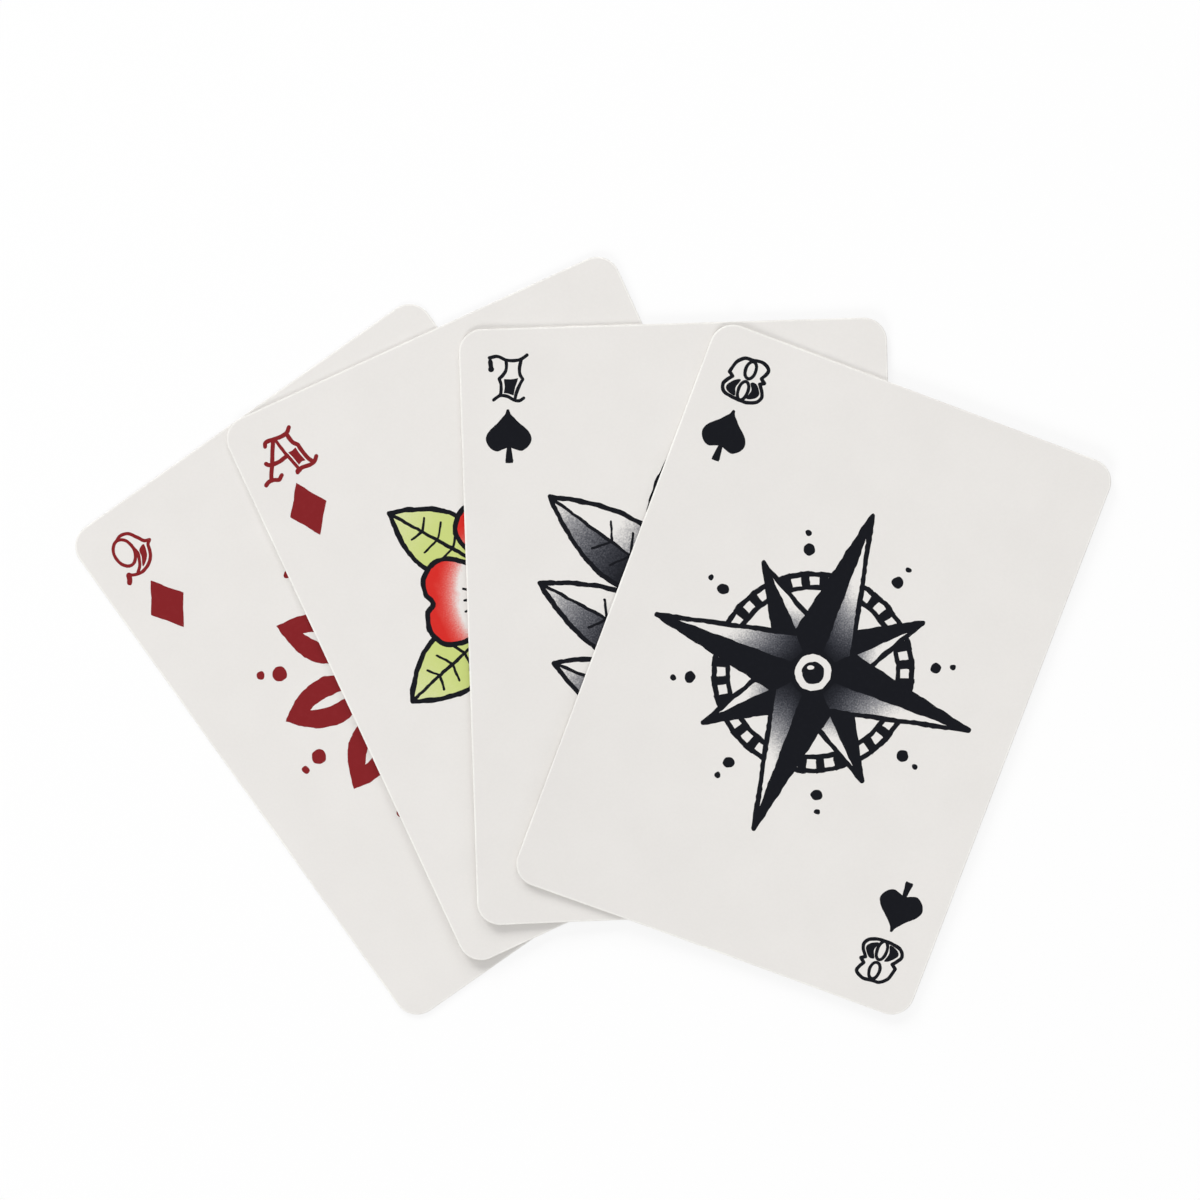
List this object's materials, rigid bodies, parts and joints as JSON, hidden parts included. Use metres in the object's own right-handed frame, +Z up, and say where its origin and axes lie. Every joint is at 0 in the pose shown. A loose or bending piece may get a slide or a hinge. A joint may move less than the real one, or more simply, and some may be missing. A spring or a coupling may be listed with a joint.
{
  "type": "playing cards",
  "caption": "Fan of poker-size playing cards, die-cut pasteboard with round corners, each swivelling on the card under it to close into a squared pack or open wider.",
  "frame": {"origin": "on the table under the middle of the fan: the middle of the bottom of its box", "axes": "+X across the fan, from the bottom card to the top card; +Y towards the cards' tops; +Z up, out of the printed faces"},
  "size_m": [0.1542, 0.1134, 0.0013],
  "materials": {
    "face_sheet": "satin",
    "core_film": "matte",
    "back_sheet": "satin",
    "black_ink": "satin",
    "red_ink": "satin",
    "colour_ink": "satin"
  },
  "bodies": {
    "nine_of_diamonds": {"nine_of_diamonds_back": "back_sheet", "nine_of_diamonds_core": "core_film", "nine_of_diamonds_face": "face_sheet"},
    "ace_of_diamonds": {"ace_of_diamonds_back": "back_sheet", "ace_of_diamonds_core": "core_film", "ace_of_diamonds_face": "face_sheet"},
    "seven_of_spades": {"seven_of_spades_back": "back_sheet", "seven_of_spades_core": "core_film", "seven_of_spades_face": "face_sheet"},
    "eight_of_spades": {"eight_of_spades_back": "back_sheet", "eight_of_spades_core": "core_film", "eight_of_spades_face": "face_sheet"}
  },
  "joints": [
    {"name": "ace_swivel", "type": "hinge", "parent": "nine_of_diamonds", "child": "ace_of_diamonds", "pos_m": [0.02468, -0.10228, 0.00033], "axis": [0, 0, 1], "range_deg": [-6.5, 10.45]},
    {"name": "seven_swivel", "type": "hinge", "parent": "ace_of_diamonds", "child": "seven_of_spades", "pos_m": [-0.00187, -0.04921, 0.00066], "axis": [0, 0, 1], "range_deg": [-23, 22.8]},
    {"name": "eight_swivel", "type": "hinge", "parent": "seven_of_spades", "child": "eight_of_spades", "pos_m": [0.0038, -0.05134, 0.00099], "axis": [0, 0, 1], "range_deg": [-17.5, 22.25]}
  ]
}
